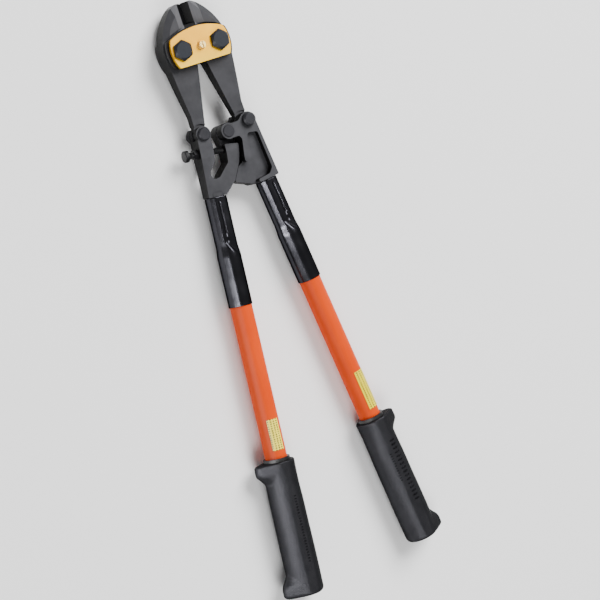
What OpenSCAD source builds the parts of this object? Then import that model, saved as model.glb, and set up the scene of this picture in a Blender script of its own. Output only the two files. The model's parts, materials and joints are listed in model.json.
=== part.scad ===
// Centre-cut bolt cutter with compound leverage and fibreglass handles.
// The tool lies on its back: +Z is the front face, +Y points to the blades.
// Origin: centre of the footprint, on the surface that the tool rests on.

/* [Overall] */
// Length from the blade tips to the ends of the grips
overall_length = 617; // [590:1:640]
// Angle between each handle and the centre line
handle_angle = 6.16; // [5.8:0.02:6.6]
// Height of the middle plane of the linkage above the resting surface
mid_height = 17.5; // [17.5:0.5:20]

/* [Jaws] */
// Distance from the jaw bolts to the blade tips
jaw_reach = 47; // [45:0.5:49]
// Distance from the jaw bolts to the toggle bolts, along the tool
tail_reach = 85.9; // [84:0.1:88]
// Distance between the two jaw bolts
jaw_bolt_gap = 44.2; // [43:0.1:46]
// Half of the width across both jaws at the bolts
jaw_half_width = 38; // [37.5:0.1:40]
// Thickness of each jaw at its bolt
hub_thickness = 15; // [14:0.5:15]
// Thickness of each jaw tail
tail_thickness = 9.6; // [9:0.1:11]
// Thickness of the tongue at the end of each tail
tongue_thickness = 6.8; // [6:0.1:7]
// Thickness of the blades at the ridge between the bevels
blade_thickness = 23; // [21:0.5:24]
// Half of the width of the V groove between the blades
groove_half_width = 6.8; // [5.5:0.1:7.5]
// Distance of the ridge beside the ground bevel from the cutting line
ridge_x = 14.6; // [13.5:0.1:15.5]

/* [Linkage] */
// Half of the distance between the toggle bolts
toggle_x = 25.5; // [25:0.1:26]
// How far the centre pivot lies below the toggle bolts
centre_drop = 4.8; // [4:0.1:5.5]
// Radius of the jaw bolts
jaw_bolt_r = 6; // [5.5:0.1:6.5]
// Radius of the toggle bolts and of the centre pivot bolt
toggle_bolt_r = 4; // [3.5:0.1:4.2]
// Radial running clearance of every bolt in the part that turns on it
running_clearance = 0.06; // [0.03:0.01:0.1]

/* [Plates] */
// Radius of the side edges of the front plate, about its middle
plate_side_r = 34; // [33.5:0.1:35]
// Radius of the side edges of the front strap and of the rear plate
strap_side_r = 37.3; // [37:0.1:38]
// Radius of the arched upper edge of the plates
plate_arch_r = 72; // [68:1:76]
// Height of the arch of the front plate above the jaw bolts
plate_top = 20.3; // [19.5:0.1:20.5]
// Height of the arch of the strap and the rear plate above the jaw bolts
strap_top = 21.7; // [21:0.1:22.5]
// Distance of the straight lower edge from the jaw bolts
plate_bottom = 16.6; // [16:0.1:17.5]
// Thickness of the front plate
front_plate_t = 4; // [3:0.5:5]
// Thickness of the front strap
strap_t = 3; // [2.5:0.5:3.5]

/* [Handle heads] */
// Thickness of the forged heads
head_t = 18; // [17:0.5:19]
// Height of the raised lug and rim of the right head above the middle plane
lug_top = 15; // [14:0.5:16]
// Distance of the adjusting screw below the toggle bolts, at the outer side of the left arm
screw_drop = 17.6; // [17:0.1:18]
// Radius of the adjusting screw
screw_r = 3.5; // [3:0.1:3.7]

/* [Handles] */
// Outer radius of the steel sleeves
sleeve_r = 12.5; // [12.3:0.05:13.2]
// Length of the steel sleeves
sleeve_length = 114; // [105:1:120]
// Outer radius of the fibreglass tubes
tube_r = 11.55; // [11:0.05:11.8]
// Radius of the bore of the fibreglass tubes
tube_bore_r = 8; // [7:0.5:9]
// Length of the grips
grip_length = 142; // [135:0.5:150]
// Radius of the grips
grip_r = 18; // [17.7:0.1:19]
// How far the finger guards of the grips reach out from the handle's axis
guard_reach = 27.4; // [26:0.1:29]
// Length of the label on the left tube
label_left_length = 32.5; // [25:0.5:42]
// Length of the label on the right tube
label_right_length = 43; // [30:0.5:50]

/* [Hidden] */
$fn = 64;

// places along the tool
bolt_y = overall_length / 2 - jaw_reach;
toggle_y = bolt_y - tail_reach;
centre_y = toggle_y - centre_drop;
bolt_x = jaw_bolt_gap / 2;
bolt_hole_r = jaw_bolt_r + running_clearance;
toggle_hole_r = toggle_bolt_r + running_clearance;
fit_gap = 0.1;
big = 200;

// levels above and below the middle plane
hub_z = hub_thickness / 2;
tail_z = tail_thickness / 2;
tongue_z = tongue_thickness / 2;
slot_z = tongue_z + 0.2;
blade_z = blade_thickness / 2;
head_z = head_t / 2;
strap_z = 10;
front_plate_z = strap_z + strap_t;
plate_face_z = front_plate_z + front_plate_t;
rear_plate_z = -9;
rear_plate_t = 4.5;
rear_face_z = rear_plate_z - rear_plate_t;
rest_z = -mid_height;
lug_split_z = 1.5;
label_left_turn = [-28, 35];
label_right_turn = [-14, 62];

// details of the jaws
hub_slope_y = -13;
tail_slope_y = -70;
notch_r = 4.6;
cutting_gap = 0.05;
tip_notch = 1.6;
blade_cone_h = 21;
blade_cone_r = 52;
blade_cone_flare = 10;
blade_cone_x = -13;
bevel_drop = 4.7;
shoulder_gap = 1.5;
eye_r = 6.9;
shoulder_r = 11;

// details of the linkage
ear_r = 8.3;
slot_reach_left = 12;
slot_reach_right = 40;
foot_z = 6.6;
centre_slack = 2.3;
bolt_head_af = 19;
bolt_turn = 22;
bolt_head_h = 4.5;
toggle_nut_af = 15.5;
toggle_nut_h = 7.5;
toggle_left_head_r = 6.7;
toggle_left_head_h = 3.6;
toggle_right_head_r = 7.1;
toggle_right_head_h = 5.5;
centre_pivot_head_r = 6.2;
centre_pivot_head_h = 1.4;
centre_pivot_collar_r = 8.2;
centre_pivot_nut_af = 13;
centre_pivot_nut_h = 4.6;
bolt_end_h = 0.6;
washer_r = 14;
centre_screw_r = 2.3;
centre_head_r = 3.5;
centre_flange_h = 2.2;
screw_slot_w = 1;
screw_slot_depth = 1.3;
centre_nut_af = 9;
centre_nut_h = 3.2;
spacer_r = 3.5;
toggle_bolt_end = -head_z - toggle_nut_h - bolt_end_h;
centre_collar_h = 1.4;
centre_nut_z = -head_z - centre_collar_h;
centre_pivot_end = centre_nut_z - centre_pivot_nut_h - bolt_end_h;

// the adjusting screw starts at the outer side of the left head and points inwards
screw_angle = -7;
screw_point = [-35.8, toggle_y - screw_drop];
screw_head_r = 6;
screw_head_out = 15;
screw_head_h = 4.5;
screw_neck_h = 1.2;
screw_reach = 39;
screw_bore_depth = 43;
lock_nut_r = 5.6;
lock_nut_h = 4.4;

// the handles run along local -Y from a point beside the toggle bolts
handle_x = 23.9;
sleeve_start = 65.2;
sleeve_end = sleeve_start + sleeve_length;
tang_start = sleeve_start - 4;
tang_end = 122;
sleeve_taper = 4;
plug_length = 16;
tang_r = 9.3;
sleeve_neck_r = 11.4;
sleeve_flat_z = 10.3;
tube_start = tang_end + 2;
end_round = 5;
grip_half_z = mid_height;
grip_end = end_round + (toggle_y + overall_length / 2 - end_round
    - (grip_r - end_round) * sin(handle_angle)) / cos(handle_angle);
grip_start = grip_end - grip_length;
tube_end = grip_end - 8;
collar_r = 14.1;
collar_h = 3.4;
label_gap = 12;
label_t = 0.35;

// ---- outlines ----

// points of an arc about c, from angle a0 to a1
function arc(c, r, a0, a1, n) =
    [for (i = [0:n]) c + r * [cos(a0 + (a1 - a0) * i / n), sin(a0 + (a1 - a0) * i / n)]];

// points of a cubic curve from p to s, pulled towards q and r
function curve(p, q, r, s, n) =
    [for (i = [0:n]) let (t = i / n, u = 1 - t) u*u*u*p + 3*u*u*t*q + 3*u*t*t*r + t*t*t*s];

function unit(v) = v / norm(v);

// the corner b between a and c, rounded with radius r
function corner(a, b, c, r, n) =
    r <= 0 ? [b] :
    let (
        u = unit(a - b),
        v = unit(c - b),
        half = acos(max(-1, min(1, u * v))) / 2,
        centre = b + unit(u + v) * r / sin(half),
        p = b + u * r / tan(half) - centre,
        q = b + v * r / tan(half) - centre,
        start = atan2(p.y, p.x),
        turn = atan2(p.x * q.y - p.y * q.x, p * q)
    )
    [for (i = [0:n]) centre + r * [cos(start + turn * i / n), sin(start + turn * i / n)]];

// an outline from corners [x, y, radius]
function rounded(pts, n = 5) =
    let (m = len(pts), xy = [for (p = pts) [p.x, p.y]])
    [for (i = [0:m - 1]) each corner(xy[(i + m - 1) % m], xy[i], xy[(i + 1) % m], pts[i][2], n)];

// drops one point of an arc or curve at each end
function inner(points) = [for (i = [1:len(points) - 2]) points[i]];

// gives plain points a corner radius of their own
function with_r(points, r = 0) = [for (p = points) [p.x, p.y, r]];

// mirrors corners [x, y, radius] to the other side, in reverse order
function mirrored(pts) = [for (i = [len(pts) - 1:-1:0]) [-pts[i].x, pts[i].y, pts[i][2]]];

// ---- places ----

module at_mid() translate([0, 0, mid_height]) children();
module at_bolts() translate([0, bolt_y, mid_height]) children();
module at_jaw_bolt(side) translate([side * bolt_x, bolt_y, mid_height]) children();
module at_toggle(side) translate([side * toggle_x, toggle_y, mid_height]) children();
module at_centre() translate([0, centre_y, mid_height]) children();
module on_side(side) mirror([side > 0 ? 0 : 1, 0, 0]) children();

// local -Y along the handle, local +X outwards, the origin beside the toggle bolt
module in_handle(side) on_side(side)
    translate([handle_x, toggle_y, mid_height]) rotate([0, 0, handle_angle]) children();

// a round bar along the handle, between two distances from the toggle bolts
module handle_bar(from, to, r) translate([0, -from, 0]) rotate([90, 0, 0]) cylinder(h = to - from, r = r);

// a plate between two levels
module slab(from, to) translate([0, 0, from]) linear_extrude(to - from) children();

// a hexagonal nut or head with its corners chamfered on the outer face
module hexagon(af, h) intersection() {
    cylinder(h = h, r = af / sqrt(3), $fn = 6);
    cylinder(h = h, r1 = af * 0.42 + 1.3 * h, r2 = af * 0.42, $fn = 48);
}

// ---- plates ----

// outline of a plate: arched top, round sides, straight bottom, round corners
function plate_corners(side_r, top) =
    let (
        drop = plate_arch_r - top,
        top_y = (plate_arch_r * plate_arch_r - side_r * side_r - drop * drop) / (2 * drop),
        top_a = asin(top_y / side_r),
        low_a = -asin(plate_bottom / side_r),
        arch_a = atan2(top_y + drop, side_r * cos(top_a)),
        side = inner(arc([0, 0], side_r, low_a, top_a, 6)),
        arch = inner(arc([0, -drop], plate_arch_r, arch_a, 180 - arch_a, 10))
    )
    concat(
        [[side_r * cos(low_a), -plate_bottom, 2.5]],
        with_r(side),
        [[side_r * cos(top_a), top_y, 3.5]],
        with_r(arch),
        [[-side_r * cos(top_a), top_y, 3.5]],
        mirrored(with_r(side)),
        [[-side_r * cos(low_a), -plate_bottom, 2.5]]
    );

module plate(side_r, top, from, to) at_bolts() difference() {
    slab(from, to) polygon(rounded(plate_corners(side_r, top)));
    for (side = [-1, 1]) translate([side * bolt_x, 0, -big / 2]) cylinder(h = big, r = bolt_hole_r);
    translate([0, 0, -big / 2]) cylinder(h = big, r = centre_screw_r + fit_gap);
}

module front_plate() color("goldenrod") plate(plate_side_r, plate_top, front_plate_z, plate_face_z);
module front_strap() color("dimgray") plate(strap_side_r, strap_top, strap_z, front_plate_z);
module rear_plate() color("dimgray") plate(strap_side_r, strap_top, rear_face_z, rear_plate_z);

// washers between the jaws and the plates, in front and behind
module thrust_washers() color("slategray") for (side = [-1, 1]) at_jaw_bolt(side) {
    washer(washer_r, bolt_hole_r, hub_z + fit_gap, strap_z);
    washer(washer_r, bolt_hole_r, rear_plate_z, -hub_z - fit_gap);
}

module washer(r, hole_r, from, to) translate([0, 0, from]) difference() {
    cylinder(h = to - from, r = r);
    translate([0, 0, -1]) cylinder(h = to - from + 2, r = hole_r);
}

// ---- bolts, nuts and screws ----

module jaw_bolt(side) color("slategray") at_jaw_bolt(side) {
    translate([0, 0, plate_face_z]) rotate(bolt_turn) hexagon(bolt_head_af, bolt_head_h);
    translate([0, 0, rest_z + 0.8]) cylinder(h = plate_face_z - rest_z, r = jaw_bolt_r);
}

module jaw_nut(side) color("slategray") at_jaw_bolt(side) difference() {
    translate([0, 0, rear_face_z]) mirror([0, 0, 1]) hexagon(bolt_head_af, rear_face_z - rest_z);
    translate([0, 0, rest_z - 1]) cylinder(h = big, r = bolt_hole_r);
}

// round slotted screw through the middle of the plates
module centre_screw() color("gold") at_bolts() {
    difference() {
        union() {
            translate([0, 0, plate_face_z]) cylinder(h = bolt_head_h, r = centre_head_r);
            translate([0, 0, plate_face_z])
                cylinder(h = centre_flange_h, r1 = centre_head_r + centre_flange_h / 2, r2 = centre_head_r);
        }
        translate([-screw_slot_w / 2, -centre_head_r - 1, plate_face_z + bolt_head_h - screw_slot_depth])
            cube([screw_slot_w, big, big]);
    }
    translate([0, 0, rear_face_z - centre_nut_h - bolt_end_h])
        cylinder(h = plate_face_z - rear_face_z + centre_nut_h + bolt_end_h + 0.1, r = centre_screw_r);
}

// keeps the plates apart in the notch between the jaws
module centre_spacer() color("gray") at_bolts()
    washer(spacer_r, centre_screw_r + fit_gap, rear_plate_z, strap_z);

module centre_screw_nut() color("slategray") at_bolts() difference() {
    translate([0, 0, rear_face_z]) mirror([0, 0, 1]) hexagon(centre_nut_af, centre_nut_h);
    translate([0, 0, rest_z]) cylinder(h = big, r = centre_screw_r + running_clearance);
}

// round-headed bolt through an ear, with its nut face at a level below
module round_bolt(r, head_r, head_z, head_h, nut_z) {
    translate([0, 0, head_z]) cylinder(h = head_h * 0.7, r = head_r);
    translate([0, 0, head_z + head_h * 0.7 - 0.01])
        cylinder(h = head_h * 0.3, r1 = head_r, r2 = head_r - head_h * 0.3);
    translate([0, 0, nut_z]) cylinder(h = head_z - nut_z + 0.1, r = r);
}

module toggle_bolt_left() color("dimgray") at_toggle(-1)
    round_bolt(toggle_bolt_r, toggle_left_head_r, head_z, toggle_left_head_h, toggle_bolt_end);

module toggle_bolt_right() color("slategray") at_toggle(1)
    round_bolt(toggle_bolt_r, toggle_right_head_r, lug_top, toggle_right_head_h, toggle_bolt_end);

module toggle_nut(side) color("slategray") at_toggle(side) difference() {
    translate([0, 0, -head_z]) mirror([0, 0, 1]) hexagon(toggle_nut_af, toggle_nut_h);
    translate([0, 0, -head_z - toggle_nut_h - 1]) cylinder(h = big, r = toggle_hole_r);
}

// pivot where the two handle heads lap over each other
module centre_pivot_bolt() color("dimgray") at_centre()
    round_bolt(toggle_bolt_r, centre_pivot_head_r, lug_top, centre_pivot_head_h, centre_pivot_end);

module centre_pivot_nut() color("slategray") at_centre() difference() {
    union() {
        translate([0, 0, centre_nut_z]) cylinder(h = centre_collar_h - 0.2, r = centre_pivot_collar_r);
        translate([0, 0, centre_nut_z]) mirror([0, 0, 1]) hexagon(centre_pivot_nut_af, centre_pivot_nut_h);
    }
    translate([0, 0, rest_z]) cylinder(h = big, r = toggle_hole_r);
}

// ---- jaws ----

// outline of the right jaw about the line of the jaw bolts
function jaw_points() =
    let (w = jaw_half_width, t = jaw_reach, tail = tail_reach)
    concat(
        [[cutting_gap, 1.5], [cutting_gap, t - tip_notch], [tip_notch, t]],
        curve([9, t], [21.5, t - 4], [w - 0.8, 20.5], [w, 1.5], 14),
        inner(curve([w, 1.5], [w - 1.5, -20], [33, -50], [29.6, -tail + 14], 10)),
        arc([toggle_x, -tail], eye_r, 34, -200, 14),
        [[18, -tail + 10], [5.2, -16.5]]
    );

// cross-section of the blades: V groove, ground bevel and ridge
function blade_section() =
    let (g = groove_half_width, r = ridge_x, z = blade_z, b = blade_z - bevel_drop)
    [[cutting_gap, -0.6], [g, -b], [r, -z], [r + 1, -z], [big, -z],
     [big, z], [r + 1, z], [r, z], [g, b], [cutting_gap, 0.6]];

// thickness along the jaw, from the hub down to the end of the tail
function thickness_profile() =
    [[big, hub_z], [hub_slope_y, hub_z], [tail_slope_y, tail_z], [-big, tail_z],
     [-big, -tail_z], [tail_slope_y, -tail_z], [hub_slope_y, -hub_z], [big, -hub_z]];

// everything under the arched shoulder that the plates fit below
module under_shoulder(extra) union() {
    translate([0, strap_top - plate_arch_r]) circle(plate_arch_r + shoulder_gap + extra, $fn = 128);
    translate([-big / 2, -big]) square([big, big - 20]);
}

module jaw_right_solid() difference() {
    union() {
        intersection() {
            slab(-blade_z, blade_z) polygon(jaw_points());
            rotate([90, 0, 0]) slab(-big, big) polygon(blade_section());
            translate([blade_cone_x, 0, 0]) for (up = [0, 1]) mirror([0, 0, up])
                cylinder(h = blade_cone_h, r1 = blade_cone_r + blade_cone_flare,
                    r2 = blade_cone_r - 2.2 * blade_cone_flare, $fn = 128);
            slab(-big, big) difference() {
                square(2 * big, center = true);
                under_shoulder(0);
            }
        }
        intersection() {
            slab(-hub_z, hub_z) polygon(jaw_points());
            rotate([90, 0, 90]) slab(-big, big) polygon(thickness_profile());
            slab(-big, big) under_shoulder(1.5);
        }
    }
    translate([bolt_x, 0, -big / 2]) cylinder(h = big, r = bolt_hole_r);
    translate([toggle_x, -tail_reach, -big / 2]) cylinder(h = big, r = toggle_hole_r);
    for (up = [0, 1]) mirror([0, 0, up])
        translate([toggle_x, -tail_reach, tongue_z]) cylinder(h = big, r = shoulder_r);
    slab(-big, big) for (dy = [1.5, 0, -1.5, -3]) translate([0, dy]) circle(notch_r);
}

module jaw_right() color("dimgray") at_bolts() jaw_right_solid();
module jaw_left() color("dimgray") at_bolts() on_side(-1) jaw_right_solid();

// ---- handle heads ----

// left head: outer side, foot, stop face, right arm and the hollow between the arms
function head_left_corners() = with_origin([
    [-33.6, -1, 4], [-41.6, -63.4, 1], [-20.6, -65.7, 2.5], [-6.6, -54.6, 4], [1, -42.6, 2],
    [3.8, -38.1, 2], [7, -29.6, 3], [9.6, -19.6, 1.5], [-6.1, -16.3, 1], [-7, -25.6, 4], [-8.4, -35, 4],
    [-15.2, -40.3, 4], [-22.3, -46.6, 4], [-28.6, -47, 3], [-31.6, -42.6, 3], [-30.6, -38, 2.5],
    [-23, -30.2, 4], [-21.2, -23.5, 3], [-18, -3, 3]
]);

// corners given about the toggle line, moved to the tool's frame
function with_origin(pts) = [for (p = pts) [p.x, p.y + toggle_y, p[2]]];

// places things along the adjusting screw; local +X points into the head
module along_screw() translate([screw_point.x, screw_point.y, mid_height])
    rotate([0, 0, screw_angle]) rotate([0, 90, 0]) children();

// slot for the tongue of a jaw tail: open wherever the tail swings
module tail_slot(side, reach) at_toggle(side) on_side(side) slab(-slot_z, slot_z) {
    circle(eye_r + 1);
    for (turn = [-15:15:60]) rotate(-turn) translate([-eye_r - 1, 0]) square([2 * eye_r + 2, 40]);
    translate([-reach, -eye_r - 1]) square([reach, 60]);
}

module head_left() color("dimgray") difference() {
    union() {
        at_mid() head_blank() {
            polygon(rounded(head_left_corners()));
            translate([-toggle_x, toggle_y]) circle(ear_r);
        }
        // neck and lug that lap behind the right head
        at_mid() slab(-head_z, lug_split_z) {
            translate([0, centre_y]) circle(ear_r);
            polygon(with_xy([[-8.3, -4.8], [8.3, -4.8], [9.4, -21], [-6.6, -21]]));
        }
        in_handle(-1) handle_bar(tang_start, tang_end, tang_r);
    }
    tail_slot(-1, slot_reach_left);
    at_toggle(-1) translate([0, 0, -big / 2]) cylinder(h = big, r = toggle_hole_r);
    at_centre() translate([0, 0, -big / 2]) cylinder(h = big, r = toggle_bolt_r + centre_slack);
    along_screw() translate([0, 0, -big / 10])
        cylinder(h = big / 10 + screw_bore_depth, r = screw_r + running_clearance);
}

function with_xy(pts) = [for (p = pts) [p.x, p.y + toggle_y]];

// a head's thickness, which falls towards its foot
function head_profile() =
    let (top = toggle_y + big, bend = toggle_y - 24, foot = toggle_y - 66)
    [[top, head_z], [bend, head_z], [foot, foot_z], [foot, -foot_z], [bend, -head_z], [top, -head_z]];

module head_blank() intersection() {
    slab(-head_z, head_z) children();
    rotate([90, 0, 90]) slab(-big, big) polygon(head_profile());
}

// body of the right head, about the toggle line
function head_right_corners() = with_origin([
    [33.6, -1, 4], [41.1, -63.4, 1], [20.6, -65.7, 1], [12, -65.2, 3], [8.4, -62.4, 4], [-7.1, -56.2, 1],
    [1.45, -42.8, 1.5], [7.4, -39.2, 2], [8.4, -33, 4], [12.2, -17.2, 2], [15, -3, 3]
]);

// raised lug, top and outer rim of the right head
function lug_corners() = with_origin([
    [33.9, -3, 3], [40.1, -62.8, 1.5], [17, -65, 2], [15, -61.5, 1.5], [30, -59.5, 4], [35, -54, 4],
    [31.6, -14.4, 2.5], [20, -12.6, 3], [17.4, -20, 4], [17, -34, 6], [12, -42, 4], [7.4, -39.2, 2],
    [8.4, -33, 4], [12, -17, 3], [10, -12.9, 2], [0, -12.8, 0], [0, 3.2, 0], [7, 1.6, 3], [14.5, 2, 6],
    [20, 7, 0], [25.5, 8.3, 0], [33, 3, 4]
]);

module head_right() color("dimgray") difference() {
    union() {
        at_mid() head_blank() {
            polygon(rounded(head_right_corners()));
            translate([toggle_x, toggle_y]) circle(ear_r);
        }
        at_mid() slab(lug_split_z + 0.3, lug_top) {
            polygon(rounded(lug_corners()));
            translate([0, centre_y]) circle(ear_r);
            translate([toggle_x, toggle_y]) circle(ear_r);
        }
        in_handle(1) handle_bar(tang_start, tang_end, tang_r);
    }
    tail_slot(1, slot_reach_right);
    at_toggle(1) translate([0, 0, -big / 2]) cylinder(h = big, r = toggle_hole_r);
    at_centre() translate([0, 0, -big / 2]) cylinder(h = big, r = toggle_hole_r);
    // room for the lug of the left head
    at_centre() slab(-big, lug_split_z + 0.3) circle(ear_r + centre_slack + 0.8);
}

// ---- adjusting screw ----

module adjusting_screw() color("dimgray") along_screw() {
    translate([0, 0, -screw_head_out]) cylinder(h = screw_head_h, r = screw_head_r);
    translate([0, 0, screw_head_h - screw_head_out])
        cylinder(h = screw_neck_h, r1 = screw_head_r, r2 = screw_head_r - screw_neck_h);
    translate([0, 0, screw_neck_h - screw_head_out])
        cylinder(h = screw_head_out + screw_reach - screw_neck_h, r = screw_r);
}

module adjusting_lock_nut() color("dimgray") along_screw() difference() {
    translate([0, 0, -lock_nut_h]) cylinder(h = lock_nut_h, r = lock_nut_r, $fn = 6);
    translate([0, 0, -lock_nut_h - 1]) cylinder(h = lock_nut_h + 2, r = screw_r + running_clearance);
}

// ---- handles ----

// steel sleeve: flattened front and back over the tang, round over the tube
module sleeve(side) color("black") in_handle(side) difference() {
    union() {
        handle_bar(sleeve_start, tube_start, sleeve_neck_r);
        translate([0, -tube_start + sleeve_taper, 0]) rotate([90, 0, 0])
            cylinder(h = sleeve_taper, r1 = sleeve_neck_r, r2 = sleeve_r);
        handle_bar(tube_start - 0.1, sleeve_end, sleeve_r);
    }
    handle_bar(sleeve_start - 1, tube_start, tang_r + fit_gap);
    handle_bar(tube_start - 0.1, sleeve_end + 1, tube_r + fit_gap);
    for (up = [0, 1]) mirror([0, 0, up]) translate([-20, -tube_start + 2, sleeve_flat_z])
        cube([40, tube_start - sleeve_start, 10]);
}

module tube(side) color("orangered") in_handle(side) difference() {
    handle_bar(tube_start + 0.2, tube_end, tube_r);
    handle_bar(tube_start - 1, tube_end + 1, tube_bore_r);
}

module tube_plug(side) color("black") in_handle(side)
    handle_bar(tube_end - plug_length, tube_end - 0.2, tube_bore_r - fit_gap / 2);

// black ring at the mouth of the grip
module collar(side) color("black") in_handle(side) difference() {
    handle_bar(grip_start - collar_h, grip_start, collar_r);
    handle_bar(grip_start - collar_h - 1, grip_start + 1, tube_r + fit_gap / 2);
}

// outline of the finger guards, about the handle's axis
function guard_corners() =
    let (a = -grip_start, b = -grip_end)
    [[0, a, 0], [guard_reach - 0.6, a - 1, 3], [guard_reach, a - 11, 5], [grip_r - 0.6, a - 24, 9],
     [grip_r - 0.6, b + 21, 9], [guard_reach, b + 10, 4], [guard_reach, b + 3.5, 3], [guard_reach - 5, b, 3],
     [-grip_r + end_round + 1, b, 0], [-grip_r + 1, b + end_round, 0], [-grip_r + 1, b + 30, 0],
     [0, b + 40, 0]];

module grip(side) color([0.2, 0.2, 0.21]) in_handle(side) difference() {
    union() {
        intersection() {
            handle_bar(grip_start, grip_end - end_round, grip_r);
            slab(-grip_half_z, grip_half_z) translate([-big / 2, -2.5 * big]) square([big, 2.5 * big]);
        }
        intersection() {
            translate([0, -grip_end + end_round, 0]) rotate([90, 0, 0])
                cylinder(h = end_round, r1 = grip_r, r2 = grip_r - end_round);
            slab(-grip_half_z, grip_half_z) translate([-big / 2, -2.5 * big]) square([big, 2.5 * big]);
        }
        slab(-8, 8) polygon(rounded(guard_corners()));
    }
    handle_bar(grip_start - 1, tube_end + 0.2, tube_r + fit_gap / 2);
}

// thin label round part of the tube, between two angles from the front towards the outer side
module label(side, length, turn) color("khaki") in_handle(side)
    translate([0, -grip_start + label_gap, 0]) rotate([90, 0, 0]) rotate(90 - turn[1])
        rotate_extrude(angle = turn[1] - turn[0])
            translate([tube_r + fit_gap / 2, -length]) square([label_t, length]);

front_plate();
front_strap();
rear_plate();
thrust_washers();
jaw_bolt(-1);  // jaw_bolt_left
jaw_bolt(1);  // jaw_bolt_right
jaw_nut(-1);  // jaw_nut_left
jaw_nut(1);  // jaw_nut_right
centre_screw();
centre_spacer();
centre_screw_nut();
jaw_left();
jaw_right();
head_left();
toggle_bolt_left();
toggle_nut(-1);  // toggle_nut_left
sleeve(-1);  // sleeve_left
tube(-1);  // tube_left
tube_plug(-1);  // tube_plug_left
collar(-1);  // collar_left
grip(-1);  // grip_left
label(-1, label_left_length, label_left_turn);  // label_left
adjusting_lock_nut();
adjusting_screw();
head_right();
toggle_bolt_right();
toggle_nut(1);  // toggle_nut_right
centre_pivot_bolt();
centre_pivot_nut();
sleeve(1);  // sleeve_right
tube(1);  // tube_right
tube_plug(1);  // tube_plug_right
collar(1);  // collar_right
grip(1);  // grip_right
label(1, label_right_length, label_right_turn);  // label_right
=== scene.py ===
"""Looks of the bolt cutter: detailed grips, sleeves, screw threads, materials, light and camera."""

import json
import math

import bmesh
import bpy
import numpy as np
from mathutils import Matrix, Vector


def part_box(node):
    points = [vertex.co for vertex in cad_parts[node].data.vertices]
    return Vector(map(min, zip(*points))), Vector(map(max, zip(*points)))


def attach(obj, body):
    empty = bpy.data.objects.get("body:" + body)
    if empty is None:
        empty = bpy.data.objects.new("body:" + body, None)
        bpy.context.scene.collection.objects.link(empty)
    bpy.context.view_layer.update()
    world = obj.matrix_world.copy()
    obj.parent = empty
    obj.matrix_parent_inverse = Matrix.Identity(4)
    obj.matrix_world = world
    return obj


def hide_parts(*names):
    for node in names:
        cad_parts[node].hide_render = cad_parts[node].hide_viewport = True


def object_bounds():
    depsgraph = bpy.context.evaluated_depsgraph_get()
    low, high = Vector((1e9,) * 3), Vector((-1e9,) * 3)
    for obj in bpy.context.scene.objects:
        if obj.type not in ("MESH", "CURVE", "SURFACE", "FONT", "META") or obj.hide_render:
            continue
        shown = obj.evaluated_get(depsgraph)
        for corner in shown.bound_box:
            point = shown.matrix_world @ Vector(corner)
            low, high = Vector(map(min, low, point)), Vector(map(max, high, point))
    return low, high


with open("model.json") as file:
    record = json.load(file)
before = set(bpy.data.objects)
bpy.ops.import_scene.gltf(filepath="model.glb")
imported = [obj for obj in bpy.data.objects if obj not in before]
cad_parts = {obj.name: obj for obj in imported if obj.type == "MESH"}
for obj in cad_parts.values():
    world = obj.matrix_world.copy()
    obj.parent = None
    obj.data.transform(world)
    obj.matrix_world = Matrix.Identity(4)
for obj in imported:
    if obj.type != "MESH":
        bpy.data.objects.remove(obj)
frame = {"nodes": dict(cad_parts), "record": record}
cad_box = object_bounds()
MM = 0.001
BODIES = frame["record"]["behaviour"]["bodies"]


def body_of(node):
    """The body that a CAD node rides on."""
    return next(body for body, nodes in BODIES.items() if node in nodes)


# ---------------------------------------------------------------- materials

class Shader:
    """A node material that is built up step by step."""

    def __init__(self, name):
        self.material = bpy.data.materials.new(name)
        self.material.use_nodes = True
        self.tree = self.material.node_tree
        self.out = next(n for n in self.tree.nodes if n.type == "BSDF_PRINCIPLED")
        self.coords = self.tree.nodes.new("ShaderNodeTexCoord")

    def node(self, kind, **inputs):
        made = self.tree.nodes.new(kind)
        for key, value in inputs.items():
            self.put(made.inputs[key.replace("_", " ")], value)
        return made

    def put(self, socket, value):
        if isinstance(value, bpy.types.NodeSocket):
            self.tree.links.new(value, socket)
        else:
            socket.default_value = value

    def set(self, **inputs):
        for key, value in inputs.items():
            self.put(self.out.inputs[key.replace("_", " ")], value)
        return self

    def noise(self, scale, detail=4.0, rough=0.55, stretch=(1, 1, 1)):
        mapping = self.node("ShaderNodeMapping", Vector=self.coords.outputs["Object"], Scale=stretch)
        made = self.node("ShaderNodeTexNoise", Vector=mapping.outputs[0], Scale=scale, Detail=detail,
                         Roughness=rough)
        return made.outputs["Fac"]

    def cells(self, scale):
        made = self.node("ShaderNodeTexVoronoi", Vector=self.coords.outputs["Object"], Scale=scale)
        return made.outputs["Distance"]

    def math(self, operation, a, b=0.0, clamp=False):
        made = self.tree.nodes.new("ShaderNodeMath")
        made.operation = operation
        made.use_clamp = clamp
        self.put(made.inputs[0], a)
        self.put(made.inputs[1], b)
        return made.outputs[0]

    def ramp(self, value, low, high, to_low=0.0, to_high=1.0):
        made = self.node("ShaderNodeMapRange", Value=value, From_Min=low, From_Max=high, To_Min=to_low,
                         To_Max=to_high)
        return made.outputs[0]

    def mix(self, factor, a, b):
        made = self.tree.nodes.new("ShaderNodeMix")
        made.data_type = "RGBA"
        self.put(made.inputs[0], factor)
        self.put(made.inputs[6], a)
        self.put(made.inputs[7], b)
        return made.outputs[2]

    def bump(self, height, distance, strength=1.0):
        made = self.node("ShaderNodeBump", Height=height, Distance=distance, Strength=strength)
        self.put(self.out.inputs["Normal"], made.outputs[0])
        return self

    def part(self, output, index):
        """One of x, y, z of the object's coordinates or normal."""
        made = self.node("ShaderNodeSeparateXYZ", Vector=self.coords.outputs[output])
        return made.outputs[index]


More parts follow.
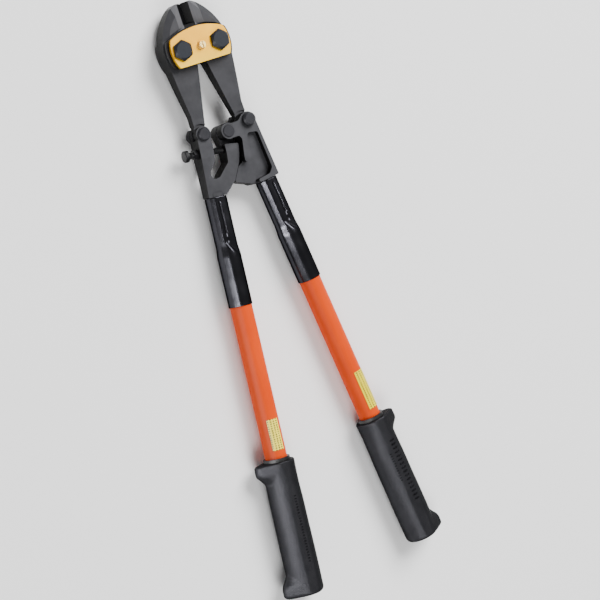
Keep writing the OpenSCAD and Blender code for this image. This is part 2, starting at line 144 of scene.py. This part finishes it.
def rgb(r, g, b):
    """A linear colour from screen values of 0 to 255."""
    linear = [((c / 255 + 0.055) / 1.055) ** 2.4 if c > 10 else c / 255 / 12.92 for c in (r, g, b)]
    return (*linear, 1.0)


def painted_side_shade_mask(s):
    """1 on faces that look up or down, 0 on the sides of a piece; it sets where shade is painted onto the
    sides.
    """
    return s.ramp(s.math("ABSOLUTE", s.part("Normal", 2)), 0.45, 0.85)


def forging_finish(s, grain):
    """The dull, finely pitted skin that the heads and jaws share."""
    s.set(Specular_IOR_Level=0.12, Roughness=s.ramp(grain, 0.3, 0.7, 0.42, 0.56))
    return s.bump(s.math("ADD", grain, s.noise(260, 4)), 0.00006, 0.8).material


def forged_steel():
    """Dark satin forging: grey on its flats, with shade painted near black on its sides, and a fine scale
    texture.
    """
    s = Shader("forged_steel")
    blotches = s.ramp(s.noise(60, 5), 0.3, 0.7)
    grain = s.noise(1400, 3)
    flat_tone = s.mix(blotches, rgb(52, 52, 55), rgb(66, 66, 69))
    # painted shade: the sides get a near-black colour, the flats keep their grey tone
    s.set(Base_Color=s.mix(painted_side_shade_mask(s), rgb(5, 5, 6), flat_tone), Metallic=0.1)
    return forging_finish(s, grain)


# Where the jaws are ground, and where shade is painted black into the groove between the slopes: above
# this height, and within these distances of the middle (m)
NOSE_Y = 0.27
SLOPE_REACH = 0.0145
GROOVE_SHADE_REACH = 0.0064


def jaw_steel():
    """The forging of the jaws, with ground slopes beside a groove at the cutting edges that is painted
    black as shade, and painted shade on the sides.
    """
    s = Shader("jaw_steel")
    blotches = s.ramp(s.noise(60, 5), 0.3, 0.7)
    grain = s.noise(1400, 3)
    grinding = s.noise(500, 2, 0.6, (1, 0.03, 1))
    off_middle = s.math("ABSOLUTE", s.part("Object", 0))
    nose = s.ramp(s.part("Object", 1), NOSE_Y, NOSE_Y + 0.002)
    slope = s.math("MULTIPLY", s.ramp(off_middle, SLOPE_REACH, SLOPE_REACH + 0.0003, 1, 0), nose)
    # painted shade: the groove between the ground slopes, turned away from the light, is painted near
    # black
    groove = s.math("MULTIPLY", s.ramp(off_middle, GROOVE_SHADE_REACH, GROOVE_SHADE_REACH + 0.0004, 1, 0), nose)
    ground = s.mix(grinding, rgb(80, 80, 83), rgb(98, 98, 101))
    flat_tone = s.mix(blotches, rgb(50, 50, 53), rgb(62, 62, 65))
    # painted shade: the sides of the jaws are painted near black, the flats keep their grey tone
    outside = s.mix(painted_side_shade_mask(s), rgb(6, 6, 7), flat_tone)
    s.set(Base_Color=s.mix(groove, s.mix(slope, outside, ground), rgb(5, 5, 6)), Metallic=0.1)
    return forging_finish(s, grain)


def dark_steel(name, colour, rough, metallic=0.5):
    """Blackened steel of bolts, nuts and washers."""
    s = Shader(name)
    smudge = s.ramp(s.noise(220, 4), 0.3, 0.7)
    lighter = tuple(min(1.0, c * 1.35) for c in colour[:3]) + (1.0,)
    s.set(Base_Color=s.mix(smudge, colour, lighter), Metallic=metallic, Specular_IOR_Level=0.2)
    s.set(Roughness=s.ramp(smudge, 0, 1, rough - 0.05, rough + 0.08))
    return s.bump(s.noise(900, 3), 0.00004, 0.5).material


def gold_plate():
    """Satin gold plating with fine rolling lines along the plate, and painted shading from deeper peach
    at the top to paler yellow at the bottom.
    """
    s = Shader("gold_plate")
    lines = s.noise(700, 3, 0.6, (0.04, 1, 1))
    patches = s.ramp(s.noise(45, 4), 0.3, 0.7)
    # painted shading: the plate is painted deeper peach towards the top and paler yellow towards the
    # bottom, standing in for how light falls on it
    down = s.ramp(s.part("Object", 1), 0.232, 0.262, 1, 0)
    upper = s.mix(patches, (0.72, 0.34, 0.008, 1), (0.80, 0.40, 0.012, 1))
    lower = s.mix(patches, (0.80, 0.52, 0.02, 1), (0.88, 0.60, 0.03, 1))
    s.set(Base_Color=s.mix(down, upper, lower), Metallic=0.45, Specular_IOR_Level=0.3)
    s.set(Roughness=s.ramp(lines, 0.3, 0.7, 0.34, 0.46))
    return s.bump(lines, 0.00003, 0.6).material


def brass():
    """Bright turned brass of the slotted screw."""
    s = Shader("brass_screw")
    turned = s.noise(900, 2)
    s.set(Base_Color=s.mix(turned, rgb(216, 180, 98), rgb(244, 220, 150)), Metallic=0.8)
    return s.set(Roughness=s.ramp(turned, 0.3, 0.7, 0.22, 0.34)).material


def black_enamel():
    """Glossy black finish of the steel sleeves, with slight orange peel."""
    s = Shader("black_enamel")
    peel = s.noise(320, 3)
    dust = s.ramp(s.noise(60, 4), 0.35, 0.75)
    s.set(Base_Color=s.mix(dust, rgb(50, 50, 54), rgb(57, 57, 61)), Metallic=0.95)
    s.set(Specular_Tint=(0.1, 0.1, 0.1, 1), Roughness=s.ramp(dust, 0, 1, 0.18, 0.26))
    return s.bump(peel, 0.00002, 0.25).material


def orange_fibreglass():
    """Orange resin over glass fibres that run along the handle."""
    s = Shader("orange_fibreglass")
    fibres = s.noise(900, 3, 0.6, (1, 0.02, 1))
    cloud = s.ramp(s.noise(30, 4), 0.3, 0.7)
    tone = s.mix(cloud, (0.60, 0.046, 0.0, 1), (0.66, 0.056, 0.0, 1))
    s.set(Base_Color=s.mix(s.ramp(fibres, 0.45, 0.75, 0, 0.3), tone, (0.68, 0.09, 0.0, 1)))
    s.set(Roughness=0.4, Specular_IOR_Level=0.08)
    return s.bump(fibres, 0.00003, 0.5).material


def grip_rubber(name, dark, light):
    """Dark grey moulded rubber with a pebbled skin and a dull sheen."""
    s = Shader(name)
    pebbles = s.cells(900)
    wear = s.ramp(s.noise(60, 3), 0.3, 0.75)
    s.set(Base_Color=s.mix(wear, dark, light), Roughness=s.ramp(wear, 0, 1, 0.36, 0.40))
    s.set(Metallic=0.75, Specular_IOR_Level=0.1, Specular_Tint=(0.1, 0.1, 0.1, 1))
    return s.bump(s.math("ADD", pebbles, s.noise(1500, 2)), 0.00022, 0.7).material


def black_plastic():
    """Matt black plastic of the rings at the mouths of the grips."""
    s = Shader("black_plastic")
    grain = s.noise(1200, 3)
    s.set(Base_Color=s.mix(grain, rgb(8, 8, 9), rgb(15, 15, 16)))
    s.set(Roughness=s.ramp(grain, 0.3, 0.7, 0.4, 0.55))
    return s.bump(grain, 0.00005, 0.5).material


# Spacing of the dashes in a row on the labels (m)
DASH_PITCH = 0.0023


def yellow_label(name, blank, ink, lay, pitch):
    """Yellow film with rows of plain printed dashes; lay turns the rows along the handle."""
    s = Shader(name)
    turned = s.node("ShaderNodeMapping", Vector=s.coords.outputs["Object"], Rotation=(0, 0, lay))
    across = s.node("ShaderNodeSeparateXYZ", Vector=turned.outputs[0])
    rows = s.math("FRACT", s.math("MULTIPLY", across.outputs[0], 1 / pitch))
    marks = s.math("FRACT", s.math("MULTIPLY", across.outputs[1], 1 / DASH_PITCH))
    row = s.math("GREATER_THAN", rows, 0.5)
    dash = s.math("GREATER_THAN", s.math("ADD", marks, s.noise(420, 1)), 0.95)
    printed = s.math("MULTIPLY", s.math("MULTIPLY", row, dash), 0.9)
    paper = s.mix(s.noise(200, 3), blank, tuple(min(1.0, c * 1.08) for c in blank[:3]) + (1.0,))
    s.set(Base_Color=s.mix(printed, paper, ink), Roughness=s.ramp(s.noise(300, 2), 0.3, 0.7, 0.32, 0.45))
    return s.bump(s.noise(500, 2), 0.00002, 0.4).material


# How far the handles lean from the tool's middle line when closed
HANDLE_LEAN = math.radians(6.2)

MATERIALS = {
    "forged": forged_steel(),
    "jaw": jaw_steel(),
    "strap": dark_steel("strap_steel", rgb(16, 16, 18), 0.42),
    "bolt": dark_steel("bolt_steel", rgb(22, 25, 32), 0.4, 0.2),
    "black_bolt": dark_steel("black_bolt_steel", rgb(18, 18, 20), 0.38, 0.2),
    "dull_bolt": dark_steel("dull_bolt_steel", rgb(33, 33, 37), 0.45, 0.2),
    "gold": gold_plate(),
    "brass": brass(),
    "enamel": black_enamel(),
    "orange": orange_fibreglass(),
    "rubber": grip_rubber("grip_rubber", rgb(47, 47, 50), rgb(53, 53, 56)),
    "rubber_marks": grip_rubber("grip_marks", rgb(20, 20, 22), rgb(26, 26, 28)),
    "plastic": black_plastic(),
    "label_left": yellow_label(
        "label_left_film", (0.90, 0.74, 0.06, 1), rgb(40, 34, 8), HANDLE_LEAN, 0.0032),
    "label_right": yellow_label(
        "label_right_film", (0.78, 0.63, 0.0, 1), rgb(8, 8, 4), -HANDLE_LEAN, 0.0036),
}

# ---------------------------------------------------------------- CAD nodes that stay as they are

NODE_LOOKS = {
    "front_plate": ("gold", 0.7), "front_strap": ("strap", 0.4), "rear_plate": ("strap", 0.5),
    "thrust_washers": ("bolt", 0.3), "centre_screw": ("brass", 0.3), "centre_spacer": ("bolt", 0.2),
    "centre_screw_nut": ("bolt", 0.3), "adjusting_lock_nut": ("black_bolt", 0.4),
    "jaw_bolt_left": ("bolt", 0.4), "jaw_bolt_right": ("bolt", 0.4),
    "jaw_nut_left": ("bolt", 0.4), "jaw_nut_right": ("bolt", 0.4),
    "jaw_left": ("jaw", 0.5), "jaw_right": ("jaw", 0.5),
    "head_left": ("forged", 0.7), "head_right": ("forged", 0.7),
    "toggle_bolt_left": ("dull_bolt", 0.5), "toggle_bolt_right": ("dull_bolt", 0.6),
    "toggle_nut_left": ("dull_bolt", 0.4), "toggle_nut_right": ("dull_bolt", 0.4),
    "centre_pivot_bolt": ("dull_bolt", 0.4), "centre_pivot_nut": ("bolt", 0.3),
    "tube_left": ("orange", 0.0), "tube_right": ("orange", 0.0),
    "tube_plug_left": ("plastic", 0.0), "tube_plug_right": ("plastic", 0.0),
    "collar_left": ("plastic", 0.8), "collar_right": ("plastic", 0.8),
    "label_left": ("label_left", 0.0), "label_right": ("label_right", 0.0),
}


def paint(obj, material):
    """Gives a piece one material."""
    obj.data.materials.clear()
    obj.data.materials.append(material)


SHARP_ANGLE = math.radians(28)


def dress_nodes():
    """Gives each CAD node its material, and breaks the sharp edges of the metal ones."""
    for name, (look, edge) in NODE_LOOKS.items():
        node = frame["nodes"][name]
        paint(node, MATERIALS[look])
        if edge:
            soften = node.modifiers.new("broken_edges", "BEVEL")
            soften.width = edge * MM
            soften.segments = 3
            soften.limit_method = "ANGLE"
            soften.angle_limit = SHARP_ANGLE
            soften.harden_normals = True


# ---------------------------------------------------------------- pieces lofted along an axis

def vertices(name):
    """The corners of a CAD node, as rows of x, y, z."""
    mesh = frame["nodes"][name].data
    co = np.zeros(len(mesh.vertices) * 3)
    mesh.vertices.foreach_get("co", co)
    return co.reshape(-1, 3)


class Axis:
    """A straight axis through a CAD node: along it, sideways (away from the tool's middle) and up."""

    def __init__(self, name, towards=(0, -1, 0)):
        points = vertices(name)
        self.origin = points.mean(0)
        along = np.linalg.svd(points - self.origin, full_matrices=False)[2][0]
        self.along = along * np.sign(along @ np.array(towards, float))
        side = np.cross(self.along, (0, 0, 1))
        self.side = side / np.linalg.norm(side) * (np.sign(side @ self.origin) or 1)
        self.up = np.array((0, 0, 1.0))

    def span(self, name):
        """How far a node reaches along the axis, from and to."""
        reach = (vertices(name) - self.origin) @ self.along
        return reach.min(), reach.max()

    def radius(self, name):
        """The largest distance of a node's corners from the axis."""
        off = vertices(name) - self.origin
        return np.linalg.norm(off - np.outer(off @ self.along, self.along), axis=1).max()

    def place(self, s, angle, r):
        """Points at distance s along the axis and r from it; angle 0 is sideways, 90 degrees is up."""
        return self.origin + np.multiply.outer(s, self.along) + (
            (r * np.cos(angle))[..., None] * self.side + (r * np.sin(angle))[..., None] * self.up)


def loft(name, axis, stations, radius, turns=96):
    """A closed tube whose radius is given for every station and angle, with rings at both ends closed."""
    angles = np.linspace(0, 2 * math.pi, turns, endpoint=False)
    s, a = np.meshgrid(stations, angles, indexing="ij")
    points = axis.place(s, a, radius(s, a)).reshape(-1, 3)
    faces = []
    for i in range(len(stations) - 1):
        for j in range(turns):
            k = (j + 1) % turns
            faces.append((i * turns + j, i * turns + k, (i + 1) * turns + k, (i + 1) * turns + j))
    faces.append(tuple(range(turns))[::-1])
    last = (len(stations) - 1) * turns
    faces.append(tuple(range(last, last + turns)))
    mesh = bpy.data.meshes.new(name)
    mesh.from_pydata(points.tolist(), [], faces)
    mesh.update()
    obj = bpy.data.objects.new(name, mesh)
    bpy.context.scene.collection.objects.link(obj)
    make_outward(obj)
    for polygon in mesh.polygons:
        polygon.use_smooth = len(polygon.vertices) == 4
    return obj


def make_outward(obj):
    """Turns every face of a closed piece outwards."""
    work = bmesh.new()
    work.from_mesh(obj.data)
    bmesh.ops.recalc_face_normals(work, faces=work.faces)
    work.to_mesh(obj.data)
    work.free()


# Keeps a division from failing where two slopes cancel out
TINY = 1e-12


def eased(points, x):
    """A smooth curve through (x, y) points, flat at each of them that is a peak or a valley."""
    px, py = np.array(points, float).T
    slope = np.diff(py) / np.diff(px)
    product = slope[1:] * slope[:-1]
    inner = np.where(product > 0, 2 * slope[1:] * slope[:-1] / (slope[1:] + slope[:-1] + TINY), 0)
    tangent = np.concatenate(([slope[0]], inner, [slope[-1]]))
    i = np.clip(np.searchsorted(px, x) - 1, 0, len(px) - 2)
    h = px[i + 1] - px[i]
    t = np.clip((x - px[i]) / h, 0, 1)
    return ((2 * t**3 - 3 * t**2 + 1) * py[i] + (t**3 - 2 * t**2 + t) * h * tangent[i]
            + (-2 * t**3 + 3 * t**2) * py[i + 1] + (t**3 - t**2) * h * tangent[i + 1])


def bump_at(x, centre, half):
    """A smooth hump of height 1 about a centre."""
    return np.clip(1 - ((x - centre) / half) ** 2, 0, 1) ** 1.5


def edge_round(distance, radius):
    """How far a rounded edge draws the surface in, at a distance from the end."""
    inside = radius - np.clip(distance, 0, radius)
    return radius - np.sqrt(np.maximum(radius**2 - inside**2, 0))


def hull_radius(angle, support, samples=180):
    """Distance to a convex outline in a direction, from its support function."""
    best = np.full(angle.shape, 1e9)
    for normal in np.linspace(0, 2 * math.pi, samples, endpoint=False):
        facing = np.cos(normal - angle)
        reach = np.where(facing > 0.05, support(normal) / np.maximum(facing, 0.05), 1e9)
        best = np.minimum(best, reach)
    return best


# Grip sizes (mm): lobe of the guards, roundings at its end and mouth, height of the mould line
LOBE_R = 6.6
END_ROUND = 5
MOUTH_ROUND = 1.6
MOULD_LINE = 0.12


def make_grip(side):
    """Rubber grip: round body, drop-shaped guards at both ends, rounded end, fine mould lines."""
    node = f"grip_{side}"
    axis = Axis(f"tube_{side}")
    start, end = axis.span(node)
    start += 0.2 * MM
    end -= 0.2 * MM
    length = (end - start) / MM
    flat = axis.origin[2] / MM - 0.15
    body_r = axis.radius(f"collar_{side}") / MM + 3.75
    reach_points = [
        (0, 25.4), (2, 26.9), (8, 27.2), (11, 26.7), (16, 22.6), (21, 19.0), (29, body_r - 0.3),
        (length - 32, body_r - 0.3), (length - 25, 18.8), (length - 19, 22.2), (length - 13, 26.2),
        (length - 9, 27.1), (length - 3, 27.0), (length, 26.0)]
    t = np.unique(np.concatenate((
        np.linspace(0, 2, 9), np.linspace(2, 38, 55), np.linspace(38, length - 40, 60),
        np.linspace(length - 40, length - END_ROUND, 50),
        length - END_ROUND * (1 - np.sin(np.linspace(0, math.pi / 2, 16))))))

    def radius(s, angle):
        x = (s - start) / MM
        reach = eased(reach_points, x)
        shrink = edge_round(length - x, END_ROUND) + edge_round(x, MOUTH_ROUND)
        body = body_r - 0.5 * bump_at(x, 22, 22) + 0.25 * bump_at(x, length - 40, 34)

        def support(normal):
            return np.maximum(body, (reach - LOBE_R) * math.cos(normal) + LOBE_R) - shrink

        r = hull_radius(angle, support)
        r = np.minimum(r, flat / np.maximum(np.abs(np.sin(angle)), 1e-6))
        mould_line = MOULD_LINE * np.exp(-((np.abs(np.sin(angle)) * r / 0.5) ** 2)) * (np.cos(angle) < 0)
        return (r + mould_line) * MM

    grip = loft(f"rubber_grip_{side}", axis, start + t * MM, radius, 128)
    paint(grip, MATERIALS["rubber"])
    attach(grip, body_of(node))
    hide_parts(node)
    add_grip_band(side, axis, start, body_r)


GRIP_MARKS = {
    # rows of moulded bars: turn from the side (degrees), first, last, pitch and size (mm)
    "left": [(97, 37, 108, 3.0, (0.6, 1.5, 0.7))],
    "right": [(80, 27, 100, 4.6, (1.2, 3.4, 0.75)), (107, 40, 72, 2.8, (0.7, 1.6, 0.6))],
}


def add_grip_band(side, axis, start, body_r):
    """Rows of small moulded bars along the grip, in place of lettering."""
    work = bmesh.new()
    for turn, first, last, pitch, half in GRIP_MARKS[side]:
        for at in np.arange(first, last, pitch):
            mound = bmesh.ops.create_icosphere(work, subdivisions=2, radius=1.0)["verts"]
            s = np.array(start + at * MM)
            centre = axis.place(s, np.array(math.radians(turn)), np.array((body_r - 0.35) * MM))
            off = centre - axis.origin
            out = Vector(off - (off @ axis.along) * axis.along).normalized()
            along = Vector(axis.along)
            turned = Matrix((along, out.cross(along), out)).transposed().to_4x4()
            size = Matrix.Diagonal((*[h * MM for h in half], 1))
            bmesh.ops.transform(work, matrix=Matrix.Translation(centre) @ turned @ size, verts=mound)
    mesh = bpy.data.meshes.new(f"grip_pips_{side}")
    work.to_mesh(mesh)
    work.free()
    pips = bpy.data.objects.new(mesh.name, mesh)
    bpy.context.scene.collection.objects.link(pips)
    for polygon in mesh.polygons:
        polygon.use_smooth = True
    paint(pips, MATERIALS["rubber_marks"])
    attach(pips, body_of(f"grip_{side}"))


# Sleeve (mm): half height over the flat, off-centre place of the groove, depths of groove and dimple
SLEEVE_FLAT = 10.1
GROOVE_AT = 1.6
GROOVE_DEPTH = 0.9
DIMPLE_DEPTH = 0.6


def make_sleeve(side):
    """Steel sleeve pressed flat over the tang, with a stamped groove and a punched dimple in front."""
    node = f"sleeve_{side}"
    axis = Axis(f"tube_{side}")
    start, end = axis.span(node)
    full = axis.radius(node) / MM
    length = (end - start) / MM
    t = np.unique(np.concatenate((
        np.linspace(0, 1, 5), np.linspace(1, 75, 150), np.linspace(75, length - 1, 24),
        np.linspace(length - 1, length, 5))))
    slant = {"left": 0.9, "right": -0.9}[side]

    def radius(s, angle):
        x = (s - start) / MM
        round_r = eased([(0, full - 1.1), (50, full - 1.1), (63, full - 0.1), (length, full - 0.1)], x)
        step_x = x + slant * full * np.cos(angle)
        flat = eased([(0, SLEEVE_FLAT), (51, SLEEVE_FLAT), (58, full), (length, full)],
                     np.clip(step_x, 0, length))
        edge = edge_round(np.minimum(x, length - x), 0.6)
        sine = np.abs(np.sin(angle))
        r = np.minimum(round_r, flat / np.maximum(sine, 1e-6))
        blend = 1 / (1 + np.exp(-(round_r * sine - flat) / 0.25))
        r = r - 0.18 * blend * (1 - blend) * 4
        front = np.sin(angle) > 0
        across = r * np.cos(angle)
        off = across - GROOVE_AT
        groove = np.exp(-(off / 1.2) ** 4) * np.clip((x - 4) / 2, 0, 1) * np.clip((42 - x) / 4, 0, 1)
        dimple = np.exp(-((off / 1.5) ** 2 + ((x - 45) / 2.2) ** 2))
        return (r - edge - front * (GROOVE_DEPTH * groove + DIMPLE_DEPTH * dimple)) * MM

    sleeve = loft(f"steel_sleeve_{side}", axis, start + t * MM, radius, 144)
    paint(sleeve, MATERIALS["enamel"])
    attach(sleeve, body_of(node))
    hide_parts(node)


def make_adjusting_screw():
    """Adjusting screw with a rolled thread and a knurled round head."""
    node = "adjusting_screw"
    axis = Axis(node, towards=(1, 0, 0))
    start, end = axis.span(node)
    length = (end - start) / MM
    head_r = axis.radius(node) / MM
    thread_r, thread_pitch, thread_depth = 3.5, 1.25, 0.62
    head_h, neck_at, rim_r = 4.4, 5.7, 0.8
    t = np.unique(np.concatenate((np.linspace(0, 6, 25), np.linspace(6, length, 330))))

    def radius(s, angle):
        x = (s - start) / MM
        wave = np.abs(((x / thread_pitch - angle / (2 * math.pi)) % 1.0) - 0.5) * 2
        rod = thread_r - 0.05 - thread_depth * wave * np.clip((length - x) / 1.5, 0.3, 1)
        rim = edge_round(x, rim_r)
        knurl = 0.22 * np.abs(np.sin(angle * 18)) * (x > rim_r) * (x < head_h)
        head = head_r - 0.05 - rim - knurl
        taper = head_r - (x - head_h) * 1.2
        return np.where(x < head_h, head, np.where(x < neck_at, np.minimum(taper, head_r), rod)) * MM

    screw = loft("threaded_adjuster", axis, start + t * MM, radius, 144)
    paint(screw, MATERIALS["black_bolt"])
    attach(screw, body_of(node))
    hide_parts(node)


# ---------------------------------------------------------------- floor, light and camera

FLOOR_HALF = 6.0
FLOOR_GAP = 0.0004


def floor():
    """A pale floor just under the tool."""
    mesh = bpy.data.meshes.new("floor")
    corners = [(-1, -1), (1, -1), (1, 1), (-1, 1)]
    mesh.from_pydata([(x * FLOOR_HALF, y * FLOOR_HALF, 0) for x, y in corners], [], [(0, 1, 2, 3)])
    plane = bpy.data.objects.new("floor", mesh)
    plane.location.z = cad_box[0][2] - FLOOR_GAP
    bpy.context.scene.collection.objects.link(plane)
    s = Shader("pale_floor")
    s.set(Base_Color=s.mix(s.noise(3, 2), (0.93, 0.93, 0.93, 1), (0.95, 0.95, 0.95, 1)), Roughness=0.9)
    s.set(Specular_IOR_Level=0.1)
    paint(plane, s.material)


def area_light(name, place, target, size, power, colour=(1, 1, 1)):
    data = bpy.data.lights.new(name, "AREA")
    data.shape = "RECTANGLE"
    data.size, data.size_y = size
    data.energy = power
    data.color = colour
    lamp = bpy.data.objects.new(name, data)
    bpy.context.scene.collection.objects.link(lamp)
    lamp.location = place
    lamp.rotation_euler = (Vector(target) - Vector(place)).to_track_quat("-Z", "Y").to_euler()
    return lamp


def lights():
    """Even white surroundings, a key, a fill and a strip whose reflection runs down the handles."""
    world = bpy.data.worlds.new("studio")
    bpy.context.scene.world = world
    world.use_nodes = True
    world.node_tree.nodes["Background"].inputs["Color"].default_value = (1, 1, 1, 1)
    world.node_tree.nodes["Background"].inputs["Strength"].default_value = 0.3
    area_light("key", (1.9, 2.0, 3.0), (0, 0, 0), (2.4, 2.4), 330)
    area_light("fill", (-1.2, -2.5, 3.0), (0, 0, 0), (2.4, 1.6), 120)
    area_light("strip", (-1.5, -0.1, 0.9), (0, -0.05, 0), (0.12, 1.8), 50).visible_diffuse = False


# Sensor width in millimetres, focal length as a multiple of it, and distance to the target (m)
SENSOR = 36
FOCAL_RATIO = 1780 / 600
DISTANCE = 1.860


def camera():
    """The camera's place, from its turn, pitch and roll about a point near the middle of the tool."""
    turn, pitch, roll = (math.radians(x) for x in (28.5, 6.4, 18.44))
    target = Vector((0.0247, -0.0198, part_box("head_left")[0].z + 0.009))
    view = Vector((math.sin(turn) * math.cos(pitch), -math.sin(pitch), -math.cos(turn) * math.cos(pitch)))
    right = Vector((math.cos(turn), 0, math.sin(turn)))
    up = right.cross(view).normalized()
    right = view.cross(up)
    rolled_right = math.cos(roll) * right - math.sin(roll) * up
    rolled_up = math.sin(roll) * right + math.cos(roll) * up
    data = bpy.data.cameras.new("camera")
    data.sensor_width = SENSOR
    data.lens = SENSOR * FOCAL_RATIO
    data.clip_end = 20
    eye = bpy.data.objects.new("camera", data)
    bpy.context.scene.collection.objects.link(eye)
    turned = Matrix((rolled_right, rolled_up, -view)).transposed().to_4x4()
    eye.matrix_world = Matrix.Translation(target - DISTANCE * view) @ turned
    bpy.context.scene.camera = eye


dress_nodes()
for which in ("left", "right"):
    make_grip(which)
    make_sleeve(which)
make_adjusting_screw()
floor()
lights()
camera()
